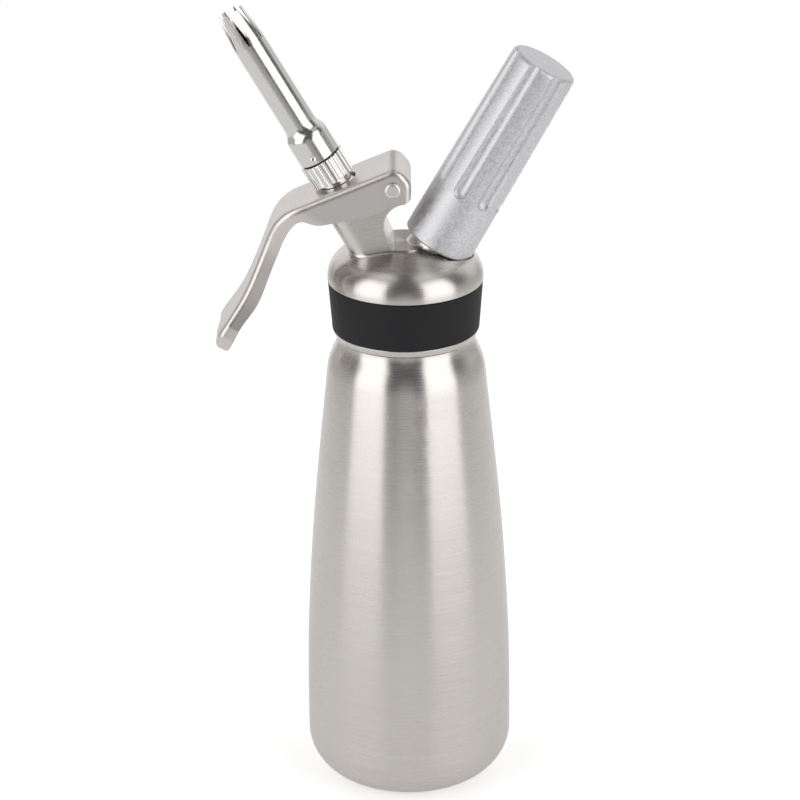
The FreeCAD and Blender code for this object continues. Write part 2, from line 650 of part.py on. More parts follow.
def lever_pivot_rivet():
    """Rivet through both flanges, with a low round head outside each."""
    outer = LEVER_HALF_W + RIVET_HEAD_T
    rivet = lathe([(0, -outer, 0), (RIVET_HEAD_R, -outer, RIVET_HEAD_ROUND), (RIVET_HEAD_R, -LEVER_HALF_W, 0),
                   (PIVOT_PIN_R, -LEVER_HALF_W, 0), (PIVOT_PIN_R, LEVER_HALF_W, 0), (RIVET_HEAD_R, LEVER_HALF_W, 0),
                   (RIVET_HEAD_R, outer, RIVET_HEAD_ROUND), (0, outer, 0)])
    rivet.rotate(V(0, 0, 0), V(1, 0, 0), 90)
    rivet.translate(flat(PIVOT))
    return rivet


# ---- dispensing valve, built upright along Z --------------------------------------------------
def valve_stem():
    """Hollow stem: a foot that carries the seal, a waist under the ports, and a groove for the o-ring."""
    groove_r, groove_top = STEM_R - O_RING_DEPTH, O_RING_FOOT + O_RING_T
    stem = lathe([(0, STEM_FOOT, 0), (STEM_FOOT_R, STEM_FOOT, STEM_FOOT_CORNER), (STEM_FOOT_R, SEAL_FOOT, 0),
                  (STEM_WAIST_R, SEAL_FOOT, 0), (STEM_WAIST_R, STEM_WAIST_TOP, 0),
                  (STEM_R, STEM_WAIST_TOP + STEM_R - STEM_WAIST_R, 0), (STEM_R, O_RING_FOOT, 0),
                  (groove_r, O_RING_FOOT, 0), (groove_r, groove_top, 0), (STEM_R, groove_top, 0),
                  (STEM_R, STEM_TOP, 0), (STEM_BORE_R, STEM_TOP, 0), (STEM_BORE_R, STEM_BORE_FOOT, 0),
                  (0, STEM_BORE_FOOT, 0)])
    port = Part.makeCylinder(STEM_PORT_R, 2 * STEM_R, V(-STEM_R, 0, STEM_PORT_AT), V(1, 0, 0))
    return stem.cut([port, spun(port, 90)])


def valve_seal():
    return ring(SEAL_R, STEM_WAIST_R + SEATED, SEAL_FOOT, VALVE_SEAT)


def o_ring(outer, depth, centre):
    """Rubber ring that fills a groove from its floor to the bore's wall."""
    section = depth / 2
    return Part.makeTorus(outer - section, section, V(0, 0, centre))


def stem_o_ring():
    return o_ring(STEM_R + RUNNING / 2, O_RING_DEPTH, O_RING_FOOT + O_RING_T / 2)


def valve_spring():
    """Coil that lifts the collar, from the floor of its well to the collar's flange."""
    height = COLLAR_FOOT - SPRING_WELL_FLOOR - 2 * SPRING_WIRE_R - 2 * SEATED
    path = Part.makeLongHelix(height / SPRING_TURNS, height, SPRING_R)
    wire = Part.Wire(Part.makeCircle(SPRING_WIRE_R, V(SPRING_R, 0, 0), V(0, 1, 0)))
    coil = Part.Wire(path).makePipeShell([wire], True, True)
    coil.translate(V(0, 0, SPRING_WELL_FLOOR + SPRING_WIRE_R + SEATED))
    return coil


def crown_station():
    """Station of the centre of the collar's crown, so that the edges of the lever's slot rest on the crown."""
    across, station = valve_place(PIVOT)
    lean = math.radians(-VALVE_TILT - PLATE_SLOPE)
    reach = math.sqrt(COLLAR_CROWN_R ** 2 - SLOT_HALF_W ** 2) + RUNNING
    return station + (PLATE_RISE - SHEET + across * math.sin(lean) - reach) / math.cos(lean)


def valve_collar():
    """Crowned nut under the lever's plate; its neck passes the slot in the plate."""
    bore = STEM_R + SEATED
    centre = (0, crown_station())
    rim, neck = [math.acos(radius / COLLAR_CROWN_R) for radius in (COLLAR_RIM_R, COLLAR_NECK_R)]
    corners = [polar(centre, COLLAR_CROWN_R, neck), (COLLAR_NECK_R, KNURL_FOOT), (bore, KNURL_FOOT),
               (bore, COLLAR_FOOT), (COLLAR_RIM_R, COLLAR_FOOT), polar(centre, COLLAR_CROWN_R, rim)]
    return turned([line(a, b) for a, b in zip(corners, corners[1:])] + [arc(centre, COLLAR_CROWN_R, rim, neck)])


# ---- tip adapter and nozzle -------------------------------------------------------------------
def tip_adapter():
    """Knurled ring on the end of the stem, with the spigot that the nozzle screws onto."""
    bore = STEM_R + SEATED
    adapter = lathe([(bore, KNURL_FOOT, 0), (KNURL_R, KNURL_FOOT, KNURL_EDGE), (KNURL_R, KNURL_TOP, KNURL_EDGE),
                     (SPIGOT_R, KNURL_TOP, 0), (SPIGOT_R, SPIGOT_TOP, KNURL_EDGE), (SPIGOT_BORE_R, SPIGOT_TOP, 0),
                     (SPIGOT_BORE_R, STEM_TOP, 0), (bore, STEM_TOP, 0)])
    across = KNURL_R + KNURL_CUT_R - KNURL_DEPTH
    cut = Part.makeCylinder(KNURL_CUT_R, KNURL_TOP - KNURL_FOOT, V(across, 0, KNURL_FOOT))
    return adapter.cut([spun(cut, 360 * i / KNURL_COUNT) for i in range(KNURL_COUNT)])


def nozzle_gasket():
    return ring(TIP_SEAL_R, SPIGOT_R + FINE_THREAD, KNURL_TOP, NOZZLE_FOOT)


def decorator_nozzle():
    """Long star nozzle: a threaded socket, a plain tube, and a tip with narrowing slits."""
    socket_bore = SPIGOT_R + FINE_THREAD
    tube_bore, tip_bore = TUBE_R - TUBE_WALL, TIP_R - TUBE_WALL
    nozzle = lathe([(socket_bore, NOZZLE_FOOT, 0), (SOCKET_R, NOZZLE_FOOT, SOCKET_FOOT_CORNER),
                    (SOCKET_R, SOCKET_TOP, SOCKET_CORNER), (TUBE_R, TUBE_FOOT, TUBE_CORNER),
                    (TUBE_R, TAPER_FOOT, TAPER_CORNER), (TIP_R, TIP_TOP, 0), (tip_bore, TIP_TOP, 0),
                    (tube_bore, TAPER_FOOT, TAPER_CORNER), (tube_bore, SOCKET_FLOOR, 0),
                    (socket_bore, SOCKET_FLOOR, 0)])
    foot, top = TIP_TOP - SLIT_LENGTH, TIP_TOP + BEYOND
    spread = SLIT_END_W / 2 + (SLIT_WIDTH - SLIT_END_W) / 2 * (top - foot) / SLIT_LENGTH
    slot = [(-SLIT_END_W / 2, foot, 0), (SLIT_END_W / 2, foot, 0), (spread, top, 0), (-spread, top, 0)]
    slit = slab(rounded(slot), 2 * TUBE_R)
    slits = [spun(slit, SLIT_PHASE + 180 * i / SLIT_PAIRS) for i in range(SLIT_PAIRS)]
    ball_r = (DIMPLE_R ** 2 + DIMPLE_DEPTH ** 2) / (2 * DIMPLE_DEPTH)
    dimple = Part.makeSphere(ball_r, V(0, DIMPLE_DEPTH - ball_r - SOCKET_R, NOZZLE_FOOT + DIMPLE_UP))
    return nozzle.cut(slits + [spun(dimple, DIMPLE_PHASE)])


# ---- gas side, built upright along Z ----------------------------------------------------------
def check_valve_sleeve():
    """Rubber sleeve that lets gas in and closes on its slit lip: a flange, a tube and the closed lip."""
    flange_foot = PIN_WELL_FLOOR - CHECK_FLANGE_T
    lip = flange_foot - CHECK_LIP_LENGTH
    bore = CHECK_LIP_R - CHECK_WALL
    sleeve = lathe([(0, lip, 0), (CHECK_LIP_R, lip, bore / 2), (CHECK_LIP_R, flange_foot, 0),
                    (CHECK_WELL_R - SEATED, flange_foot, 0), (CHECK_WELL_R - SEATED, PIN_WELL_FLOOR, 0),
                    (bore, PIN_WELL_FLOOR, 0), (bore, lip + CHECK_WALL, 0), (0, lip + CHECK_WALL, 0)])
    slit = Part.makeBox(2 * bore, CHECK_SLIT, 2 * CHECK_WALL, V(-bore, -CHECK_SLIT / 2, lip - CHECK_WALL / 2))
    return sleeve.cut(slit)


def inlet_filter():
    return rod(PIN_WELL_R - SEATED, PIN_WELL_FLOOR, PIN_HOLDER_FOOT)


def pin_holder():
    """Threaded plug: groove for its o-ring, seat of the cartridge's neck, pin hole and gas ways."""
    radius = PIN_WELL_R - SEATED
    groove_top = PIN_HOLDER_RING_FOOT + PIN_HOLDER_RING_T
    groove_r = radius - PIN_HOLDER_RING_DEPTH
    bore = PIN_R + SEATED
    plug = lathe([(bore, PIN_HOLDER_FOOT, 0), (radius, PIN_HOLDER_FOOT, 0), (radius, PIN_HOLDER_RING_FOOT, 0),
                  (groove_r, PIN_HOLDER_RING_FOOT, 0), (groove_r, groove_top, 0), (radius, groove_top, 0),
                  (radius, PIN_HOLDER_TOP, 0), (NECK_WELL_R, PIN_HOLDER_TOP, 0), (NECK_WELL_R, NECK_WELL_FLOOR, 0),
                  (bore, NECK_WELL_FLOOR, 0)])
    way = Part.makeCylinder(PIN_HOLDER_WAY_R, NECK_WELL_FLOOR - PIN_HOLDER_FOOT,
                            V(PIN_R + 2 * PIN_HOLDER_WAY_R, 0, PIN_HOLDER_FOOT))
    return plug.cut([spun(way, 360 * i / PIN_HOLDER_WAYS) for i in range(PIN_HOLDER_WAYS)])


def piercing_pin():
    return lathe([(0, PIN_HOLDER_FOOT, 0), (PIN_R, PIN_HOLDER_FOOT, 0), (PIN_R, PIN_CONE_FOOT, 0),
                  (PIN_TIP_R, PIN_TIP, 0), (0, PIN_TIP, 0)])


def pin_holder_o_ring():
    return o_ring(PIN_WELL_R - SEATED, PIN_HOLDER_RING_DEPTH - SEATED, PIN_HOLDER_RING_FOOT + PIN_HOLDER_RING_T / 2)


def charger_seal():
    return ring(NECK_WELL_R - SEATED, CHARGER_SEAL_BORE_R, NECK_WELL_FLOOR, CHARGER_FOOT)


def gas_charger():
    """Steel gas cartridge, neck down, with the hole that the pin has made in it."""
    neck_top = CHARGER_FOOT + CHARGER_NECK_LENGTH
    body_foot = neck_top + CHARGER_SHOULDER
    inner_r, neck_bore = CHARGER_R - CHARGER_WALL, CHARGER_NECK_R - CHARGER_WALL
    inner_top, inner_foot = CHARGER_TOP - CHARGER_WALL, CHARGER_FOOT + CHARGER_WALL
    return lathe([(CHARGER_HOLE_R, CHARGER_FOOT, 0), (CHARGER_NECK_R, CHARGER_FOOT, CHARGER_NECK_EDGE),
                  (CHARGER_NECK_R, neck_top, CHARGER_NECK_EDGE), (CHARGER_R, body_foot, CHARGER_SHOULDER),
                  (CHARGER_R, CHARGER_TOP, CHARGER_END_ROUND), (0, CHARGER_TOP, 0),
                  (0, inner_top, 0), (inner_r, inner_top, CHARGER_END_ROUND - CHARGER_WALL),
                  (inner_r, body_foot, CHARGER_SHOULDER - CHARGER_WALL), (neck_bore, neck_top, CHARGER_NECK_EDGE),
                  (neck_bore, inner_foot, 0), (CHARGER_HOLE_R, inner_foot, 0)])


def charger_cushion():
    return rod(CUSHION_R, CHARGER_TOP, HOLDER_END)


def charger_holder():
    """Long cup that pushes the cartridge onto the pin, with flutes that run out through its crown."""
    cup = lathe([(BUSH_R + SEATED, HOLDER_FOOT, 0), (HOLDER_FOOT_R, HOLDER_FOOT, HOLDER_RIM_EDGE),
                 (HOLDER_TOP_R, HOLDER_TOP, HOLDER_CROWN_R), (0, HOLDER_TOP, 0), (0, HOLDER_END, 0),
                 (HOLDER_BORE_R, HOLDER_END, 0), (HOLDER_BORE_R, BUSH_TOP, 0), (BUSH_R + SEATED, BUSH_TOP, 0)])
    axis = V(HOLDER_TOP_R + FLUTE_CUTTER_R - FLUTE_DEPTH, 0, FLUTE_FOOT)
    cutter = Part.makeCylinder(FLUTE_CUTTER_R, HOLDER_TOP - FLUTE_FOOT + BEYOND, axis)
    cutter = cutter.fuse(Part.makeSphere(FLUTE_CUTTER_R, axis))
    return cup.cut([spun(cutter, FLUTE_PHASE + 360 * i / FLUTE_COUNT) for i in range(FLUTE_COUNT)])


def holder_thread_bush():
    return ring(BUSH_R, GAS_SPIGOT_R + FINE_THREAD, BUSH_FOOT, BUSH_TOP)


# ---- write one file for each piece ------------------------------------------------------------
UPRIGHT = [bottle, head_gasket, head_casting, grip_band, lever, lever_pivot_rivet]
ON_VALVE_ARM = [valve_stem, valve_seal, stem_o_ring, valve_spring, valve_collar, tip_adapter, nozzle_gasket,
                decorator_nozzle]
ON_GAS_ARM = [check_valve_sleeve, inlet_filter, pin_holder, piercing_pin, pin_holder_o_ring, charger_seal,
              gas_charger, charger_cushion, charger_holder, holder_thread_bush]

pieces = {build.__name__: build() for build in UPRIGHT}
pieces.update({build.__name__: on_valve_arm(build()) for build in ON_VALVE_ARM})
pieces.update({build.__name__: on_gas_arm(build()) for build in ON_GAS_ARM})
os.makedirs("parts", exist_ok=True)
for name, shape in pieces.items():
    shape.exportStep("parts/" + name + ".step")
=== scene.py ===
"""Looks of the whipped cream dispenser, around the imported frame.

Metres, +Z up, origin under the bottle. The nozzle and the lever lean to -X, the charger holder to +X.
"""
import json
import math

import bmesh
import bpy
from mathutils import Matrix, Vector


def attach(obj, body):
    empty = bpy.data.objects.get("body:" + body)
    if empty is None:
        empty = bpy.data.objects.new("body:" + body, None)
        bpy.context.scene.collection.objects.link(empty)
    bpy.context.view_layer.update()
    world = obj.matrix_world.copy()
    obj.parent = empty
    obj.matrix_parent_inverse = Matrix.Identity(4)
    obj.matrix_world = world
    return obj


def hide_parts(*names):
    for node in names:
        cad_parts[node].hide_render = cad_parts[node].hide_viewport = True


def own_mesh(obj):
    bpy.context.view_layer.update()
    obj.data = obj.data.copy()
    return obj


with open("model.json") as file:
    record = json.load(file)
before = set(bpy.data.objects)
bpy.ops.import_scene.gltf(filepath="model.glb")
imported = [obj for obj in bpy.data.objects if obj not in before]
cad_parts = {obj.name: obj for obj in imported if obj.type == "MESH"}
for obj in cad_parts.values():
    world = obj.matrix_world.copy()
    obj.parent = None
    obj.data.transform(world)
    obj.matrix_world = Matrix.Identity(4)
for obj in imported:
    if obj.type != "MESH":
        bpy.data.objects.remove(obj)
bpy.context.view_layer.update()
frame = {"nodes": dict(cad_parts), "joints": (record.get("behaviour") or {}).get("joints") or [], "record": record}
MM = 0.001
MICRON = 0.000001

# ---- what the frame says of the movements -----------------------------------------------------
JOINTS = {joint["name"]: joint for joint in frame["joints"]}
RATIOS = {pair["joint"]: pair["ratio"] for pair in frame["record"]["behaviour"]["couplings"]}


def leaning_axis(turn):
    """How far up a joint's axis crosses the bottle's, in millimetres, and how far it leans to +X."""
    axis, point = JOINTS[turn]["axis"], JOINTS[turn]["pos_m"]
    root = point[2] - point[0] * axis[2] / axis[0]
    return root / MM, math.atan2(axis[0], axis[2])


BOTTLE_AXIS = (0.0, 0.0)
VALVE_ARM = leaning_axis("nozzle_turn")
GAS_ARM = leaning_axis("holder_turn")

# ---- spring, in millimetres up the valve's arm from where it crosses the bottle's axis ---------
SPRING_FOOT = 33.55       # floor of the spring's well
SPRING_TOP = 46.7
SPRING_R = 6.1
WIRE_R = 0.6
CLOSED_TURNS = 1.0        # at each end
ACTIVE_TURNS = 4.0
CLOSED_GAP = 0.02         # between closed turns

# ---- threads: core radius, crest radius, first and last place up their axis, in millimetres ----
NECK_THREAD = (24.4, 25.2, 193.5, 205.0)
SPIGOT_THREAD = (5.7, 6.25, 66.6, 73.0)
GAS_THREAD = (9.8, 10.3, 28.0, 37.4)
CREST_SHARE = 0.25        # width of a thread's crest, in pitches
ROOT_SHARE = 0.85         # the same at its root
SUNK = 0.08               # how deep a ridge stands in its core
THREAD_FADE = 0.4         # turns over which a ridge's ends sink into the core
LEAST_TURN = 0.02         # keeps an end's section from closing to nothing

# ---- smoothness of round pieces ----------------------------------------------------------------
STEPS_PER_TURN = 60
WIRE_CORNERS = 12
TABLE_CORNERS = 96
SHARP_EDGE = math.radians(35)


# ---- node helpers -----------------------------------------------------------------------------
def add(tree, kind, inputs=None, **settings):
    """New node with its settings, and its inputs set or linked."""
    made = tree.nodes.new(kind)
    for key, value in settings.items():
        setattr(made, key, value)
    for key, value in (inputs or {}).items():
        if isinstance(value, bpy.types.NodeSocket):
            tree.links.new(value, made.inputs[key])
        else:
            made.inputs[key].default_value = value
    return made


def calc(tree, operation, first, second=0.0):
    return add(tree, "ShaderNodeMath", {0: first, 1: second}, operation=operation).outputs[0]


def weighted(tree, first, second, share):
    """Share of the first value, and the rest of the second."""
    rest = calc(tree, "MULTIPLY", second, 1.0 - share)
    return calc(tree, "ADD", calc(tree, "MULTIPLY", first, share), rest)


def spread(tree, value, low, high, to_low, to_high, smooth=False):
    """Value moved from one range to another, held inside it."""
    kind = "SMOOTHSTEP" if smooth else "LINEAR"
    inputs = {"Value": value, "From Min": low, "From Max": high, "To Min": to_low, "To Max": to_high}
    return add(tree, "ShaderNodeMapRange", inputs, interpolation_type=kind).outputs[0]


def blend_colour(tree, share, first, second):
    """Goes from the first colour to the second as the share goes from nothing to one.

    The Mix node names its colour sockets and its number sockets alike, so they are told apart by number.
    """
    inputs = {"Factor": share, 6: (*first, 1.0), 7: (*second, 1.0)}
    return add(tree, "ShaderNodeMix", inputs, data_type="RGBA").outputs[2]


def blend_level(tree, share, first, second):
    """The same from one light level to another."""
    inputs = {"Factor": share, 2: first, 3: second}
    return add(tree, "ShaderNodeMix", inputs, data_type="FLOAT").outputs[0]


def object_place(tree):
    return add(tree, "ShaderNodeTexCoord").outputs["Object"]


def split(tree, vector):
    """X, Y and Z of a vector."""
    return add(tree, "ShaderNodeSeparateXYZ", {0: vector}).outputs


def join(tree, **parts):
    """Vector from those of its parts that are given as x, y or z."""
    inputs = {"xyz".index(axis): value for axis, value in parts.items()}
    return add(tree, "ShaderNodeCombineXYZ", inputs).outputs[0]


def move(tree, vector, step):
    """Vector with a step added."""
    return add(tree, "ShaderNodeVectorMath", {0: vector, 1: step}, operation="ADD").outputs[0]


def stretched(tree, vector, scale):
    """Coordinates scaled along each axis."""
    return add(tree, "ShaderNodeMapping", {"Vector": vector, "Scale": scale}).outputs[0]


def upright(tree, axis):
    """Object coordinates turned so that a leaning axis becomes Z."""
    root, tilt = axis
    back = move(tree, object_place(tree), (0, 0, -root * MM))
    return add(tree, "ShaderNodeVectorRotate", {"Vector": back, "Axis": (0, 1, 0), "Angle": -tilt},
               rotation_type="AXIS_ANGLE").outputs[0]


def round_axis(tree, here, along, around):
    """Coordinates that wrap round Z, so that noise in them lies in rings."""
    parts = split(tree, here)
    angle = calc(tree, "ARCTAN2", parts[1], parts[0])
    turn = join(tree, x=calc(tree, "SINE", angle), y=calc(tree, "COSINE", angle))
    lift = join(tree, z=calc(tree, "MULTIPLY", parts[2], along))
    return move(tree, stretched(tree, turn, (around, around, 1)), lift)


def noise(tree, vector, scale=1.0, detail=3.0, roughness=0.5):
    inputs = {"Vector": vector, "Scale": scale, "Detail": detail, "Roughness": roughness}
    return add(tree, "ShaderNodeTexNoise", inputs).outputs[0]


def varied(tree, value, low, high):
    """Noise moved to a range; most of its values lie between 0.3 and 0.7."""
    return spread(tree, value, 0.3, 0.7, low, high)


def bump(tree, height, depth, strength=1.0, under=None):
    inputs = {"Height": height, "Distance": depth * MICRON, "Strength": strength}
    if under is not None:
        inputs["Normal"] = under
    return add(tree, "ShaderNodeBump", inputs).outputs[0]


def rounded_edges(tree, radius):
    """Normal that rounds the edges, where a radius is given."""
    if not radius:
        return None
    return add(tree, "ShaderNodeBevel", {"Radius": radius * MM}, samples=4).outputs[0]


def shaded(colour, share):
    return [channel * share for channel in colour]


def new_tree(owner):
    """Emptied node tree of a material or world."""
    owner.use_nodes = True
    owner.node_tree.nodes.clear()
    return owner.node_tree


def new_material(name, **sockets):
    """Material with one Principled shader whose constant sockets are set here."""
    material = bpy.data.materials.new(name)
    tree = new_tree(material)
    shader = add(tree, "ShaderNodeBsdfPrincipled")
    for key, value in sockets.items():
        shader.inputs[key.replace("_", " ")].default_value = value
    add(tree, "ShaderNodeOutputMaterial", {"Surface": shader.outputs[0]})
    return material, tree, shader


def feed(tree, shader, **sockets):
    """Links node outputs to the shader's sockets."""
    for key, value in sockets.items():
        tree.links.new(value, shader.inputs[key.replace("_", " ")])


# ---- materials: noise scales are per metre, bevels in millimetres, bump depths in microns -------
def ring_brushed(name, colour, dark, rough, line_depth, bevel=0.0):
    """Steel brushed in rings about the bottle's axis, which draws highlights out across the rings."""
    material, tree, shader = new_material(name, Metallic=1.0, Anisotropic=0.75, Anisotropic_Rotation=0.25)
    here = object_place(tree)
    lines = 2600.0
    fine = noise(tree, round_axis(tree, here, along=lines, around=1.5), detail=3.0, roughness=0.6)
    broad = noise(tree, round_axis(tree, here, along=lines / 8, around=1.2), detail=2.0)
    patch = noise(tree, here, scale=22.0, detail=2.0)
    tone = varied(tree, weighted(tree, fine, broad, share=0.75), low=0.0, high=1.0)
    patchy = varied(tree, patch, low=rough - 0.02, high=rough + 0.02)
    feed(tree, shader, Base_Color=blend_colour(tree, tone, dark, colour),
         Roughness=calc(tree, "ADD", patchy, varied(tree, fine, low=-0.02, high=0.02)),
         Normal=bump(tree, fine, depth=line_depth, under=rounded_edges(tree, bevel)),
         Tangent=add(tree, "ShaderNodeTangent", direction_type="RADIAL", axis="Z").outputs[0])
    return material


def satin_steel(name, colour, dark, rough, bevel):
    """Tumbled steel with a soft mottle and fine scratches."""
    material, tree, shader = new_material(name, Metallic=1.0)
    here = object_place(tree)
    grain = noise(tree, here, scale=2600.0, detail=2.0)
    scratch = noise(tree, stretched(tree, here, (350.0, 350.0, 2600.0)), detail=3.0)
    cloud = noise(tree, here, scale=60.0, detail=3.0)
    tone = spread(tree, weighted(tree, cloud, grain, share=0.6), 0.35, 0.65, 0.0, 1.0)
    feed(tree, shader, Base_Color=blend_colour(tree, tone, dark, colour),
         Roughness=varied(tree, scratch, low=rough - 0.05, high=rough + 0.05),
         Normal=bump(tree, grain, depth=1.5, under=rounded_edges(tree, bevel)))
    return material


def polished_steel(name, colour, rough):
    """Bright steel with faint drawing marks."""
    material, tree, shader = new_material(name, Metallic=1.0)
    here = object_place(tree)
    marks = noise(tree, here, scale=900.0, detail=3.0)
    cloud = noise(tree, here, scale=90.0, detail=2.0)
    feed(tree, shader, Base_Color=blend_colour(tree, cloud, shaded(colour, 0.93), colour),
         Roughness=varied(tree, marks, low=rough * 0.7, high=rough * 1.4),
         Normal=bump(tree, cloud, depth=40))
    return material


def sparkling_aluminium(name, dark, light):
    """Silver blasted aluminium whose grains glint."""
    material, tree, shader = new_material(name, Metallic=1.0)
    here = object_place(tree)
    cells = add(tree, "ShaderNodeTexVoronoi", {"Vector": here, "Scale": 1900.0})
    grain = noise(tree, here, scale=1500.0, detail=3.0, roughness=0.6)
    sparkle = split(tree, cells.outputs["Color"])[0]
    tone = weighted(tree, sparkle, grain, share=0.55)
    feed(tree, shader, Base_Color=blend_colour(tree, tone, dark, light),
         Roughness=spread(tree, sparkle, 0.0, 1.0, 0.40, 0.64),
         Normal=bump(tree, grain, depth=90, strength=0.8))
    return material


def soft_rubber(name, colour, rough):
    """Matte rubber or plastic with a fine grain."""
    material, tree, shader = new_material(name, Specular_IOR_Level=0.3)
    here = object_place(tree)
    fine = noise(tree, here, scale=1800.0, detail=3.0)
    cloud = noise(tree, here, scale=45.0, detail=2.0)
    feed(tree, shader, Base_Color=blend_colour(tree, cloud, shaded(colour, 0.85), shaded(colour, 1.15)),
         Roughness=varied(tree, fine, low=rough - 0.06, high=rough + 0.06),
         Normal=bump(tree, fine, depth=20))
    return material


def turned_brass(name, colour, rough, axis):
    """Brass with turning lines round a leaning axis."""
    material, tree, shader = new_material(name, Metallic=1.0)
    lines = noise(tree, round_axis(tree, upright(tree, axis), along=3000.0, around=1.0), detail=2.0)
    feed(tree, shader, Base_Color=blend_colour(tree, lines, shaded(colour, 0.8), colour),
         Roughness=varied(tree, lines, low=rough - 0.05, high=rough + 0.08),
         Normal=bump(tree, lines, depth=10))
    return material


def sintered(name, painted_pore_shade, grain):
    """Bronze grains with painted shade in the pores between them."""
    material, tree, shader = new_material(name, Metallic=1.0)
    cells = add(tree, "ShaderNodeTexVoronoi", {"Vector": object_place(tree), "Scale": 2500.0})
    place = cells.outputs["Distance"]
    # the pores get the grain's colour darkened, as painted shade in the holes
    feed(tree, shader, Base_Color=blend_colour(tree, spread(tree, place, 0.0, 0.5, 0.0, 1.0), painted_pore_shade, grain),
         Roughness=spread(tree, place, 0.0, 0.5, 0.8, 0.5),
         Normal=bump(tree, place, depth=120))
    return material


WARM = (0.68, 0.646, 0.612)
WARM_DARK = (0.62, 0.59, 0.56)
bottle_steel = ring_brushed("bottle_steel", WARM, WARM_DARK, rough=0.27, line_depth=0.8)
head_steel = ring_brushed("head_steel", WARM, WARM_DARK, rough=0.27, line_depth=3, bevel=0.6)
lever_steel = satin_steel("lever_steel", (0.70, 0.665, 0.64), dark=(0.655, 0.62, 0.595),
                          rough=0.34, bevel=0.3)
bright_steel = polished_steel("bright_steel", (0.83, 0.81, 0.79), rough=0.09)
nozzle_steel = polished_steel("nozzle_steel", (0.74, 0.72, 0.70), rough=0.16)
rivet_steel = satin_steel("rivet_steel", (0.84, 0.82, 0.80), dark=(0.78, 0.76, 0.74),
                          rough=0.32, bevel=0.4)
wire_steel = polished_steel("wire_steel", (0.60, 0.60, 0.60), rough=0.22)
charger_steel = polished_steel("charger_steel", (0.72, 0.72, 0.73), rough=0.20)
holder_metal = sparkling_aluminium("holder_metal", dark=(0.52, 0.52, 0.535), light=(0.88, 0.88, 0.895))
brass = turned_brass("brass_turned", (0.48, 0.43, 0.34), rough=0.32, axis=GAS_ARM)
# the first colour is painted shade for the filter's pores, a darkened copy of the grain's colour
bronze = sintered("sintered_bronze", painted_pore_shade=(0.30, 0.20, 0.11), grain=(0.62, 0.45, 0.27))
band_rubber = soft_rubber("band_rubber", (0.011, 0.011, 0.013), rough=0.6)
seal_rubber = soft_rubber("seal_rubber", (0.035, 0.035, 0.035), rough=0.5)
cushion_plastic = soft_rubber("cushion_plastic", (0.80, 0.79, 0.75), rough=0.45)

DRESS = (
    (bottle_steel, ("bottle",)),
    (head_steel, ("head_casting",)),
    (lever_steel, ("lever",)),
    (rivet_steel, ("lever_pivot_rivet",)),
    (bright_steel, ("valve_stem", "valve_collar", "tip_adapter")),
    (nozzle_steel, ("decorator_nozzle",)),
    (wire_steel, ("valve_spring", "piercing_pin")),
    (charger_steel, ("gas_charger",)),
    (holder_metal, ("charger_holder",)),
    (brass, ("pin_holder", "holder_thread_bush")),
    (bronze, ("inlet_filter",)),
    (band_rubber, ("grip_band",)),
    (seal_rubber, ("head_gasket", "valve_seal", "stem_o_ring", "nozzle_gasket", "check_valve_sleeve",
                   "pin_holder_o_ring", "charger_seal")),
    (cushion_plastic, ("charger_cushion",)),
)


def dress():
    """Gives each solid its material."""
    for finish, node_names in DRESS:
        for node_name in node_names:
            for material_slot in frame["nodes"][node_name].material_slots:
                material_slot.material = finish


dress()


# ---- coils and threads ------------------------------------------------------------------------
def placed_on(axis):
    """Turns places round an upright axis, in millimetres, into places in the frame round this one."""
    root, tilt = axis
    return Matrix.Translation((0, 0, root * MM)) @ Matrix.Rotation(tilt, 4, "Y") @ Matrix.Scale(MM, 4)


def new_piece(name, shape, finish):
    """Object in the scene made from a bmesh, which is freed."""
    mesh = bpy.data.meshes.new(name)
    shape.to_mesh(mesh)
    shape.free()
    mesh.materials.append(finish)
    piece = bpy.data.objects.new(name, mesh)
    bpy.context.scene.collection.objects.link(piece)
    return piece


def helix(name, section, turns, climb, place, finish, fade=0.0):
    """Section of (radius, height) corners swept round an axis.

    Where fade is given, the ends sink into the core over that many turns.
    """
    core = min(radius for radius, _ in section)
    steps = round(turns * STEPS_PER_TURN)
    shape = bmesh.new()
    rings = []
    for step in range(steps + 1):
        turn = turns * step / steps
        full = 1.0
        if fade:
            full = min(1.0, max(turn, LEAST_TURN) / fade, max(turns - turn, LEAST_TURN) / fade)
        way = Matrix.Rotation(2 * math.pi * turn, 3, "Z")
        ring = [place @ (way @ Vector((core + (radius - core) * full, 0, height + climb(turn))))
                for radius, height in section]
        rings.append([shape.verts.new(point) for point in ring])
    for back, ahead in zip(rings, rings[1:]):
        for i in range(len(section)):
            shape.faces.new((back[i - 1], back[i], ahead[i], ahead[i - 1]))
    shape.faces.new(rings[0])
    shape.faces.new(rings[-1][::-1])
    bmesh.ops.recalc_face_normals(shape, faces=shape.faces)
    piece = new_piece(name, shape, finish)
    piece.data.shade_smooth()
    piece.data.set_sharp_from_angle(angle=SHARP_EDGE)
    return piece


def thread(name, sizes, axis, rise, body, finish):
    """Ridge of a screw thread that stands on a plain core. The joint that rises on it gives its pitch."""
    core, crest, foot, top = sizes
    pitch = RATIOS[rise] * 2 * math.pi / MM
    root, tip = ROOT_SHARE * pitch / 2, CREST_SHARE * pitch / 2
    section = [(core - SUNK, -root), (crest, -tip), (crest, tip), (core - SUNK, root)]
    turns = (top - foot) / pitch
    place = placed_on(axis)
    ridge = helix(name, section, turns, lambda turn: foot + pitch * turn, place, finish, THREAD_FADE)
    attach(ridge, body)


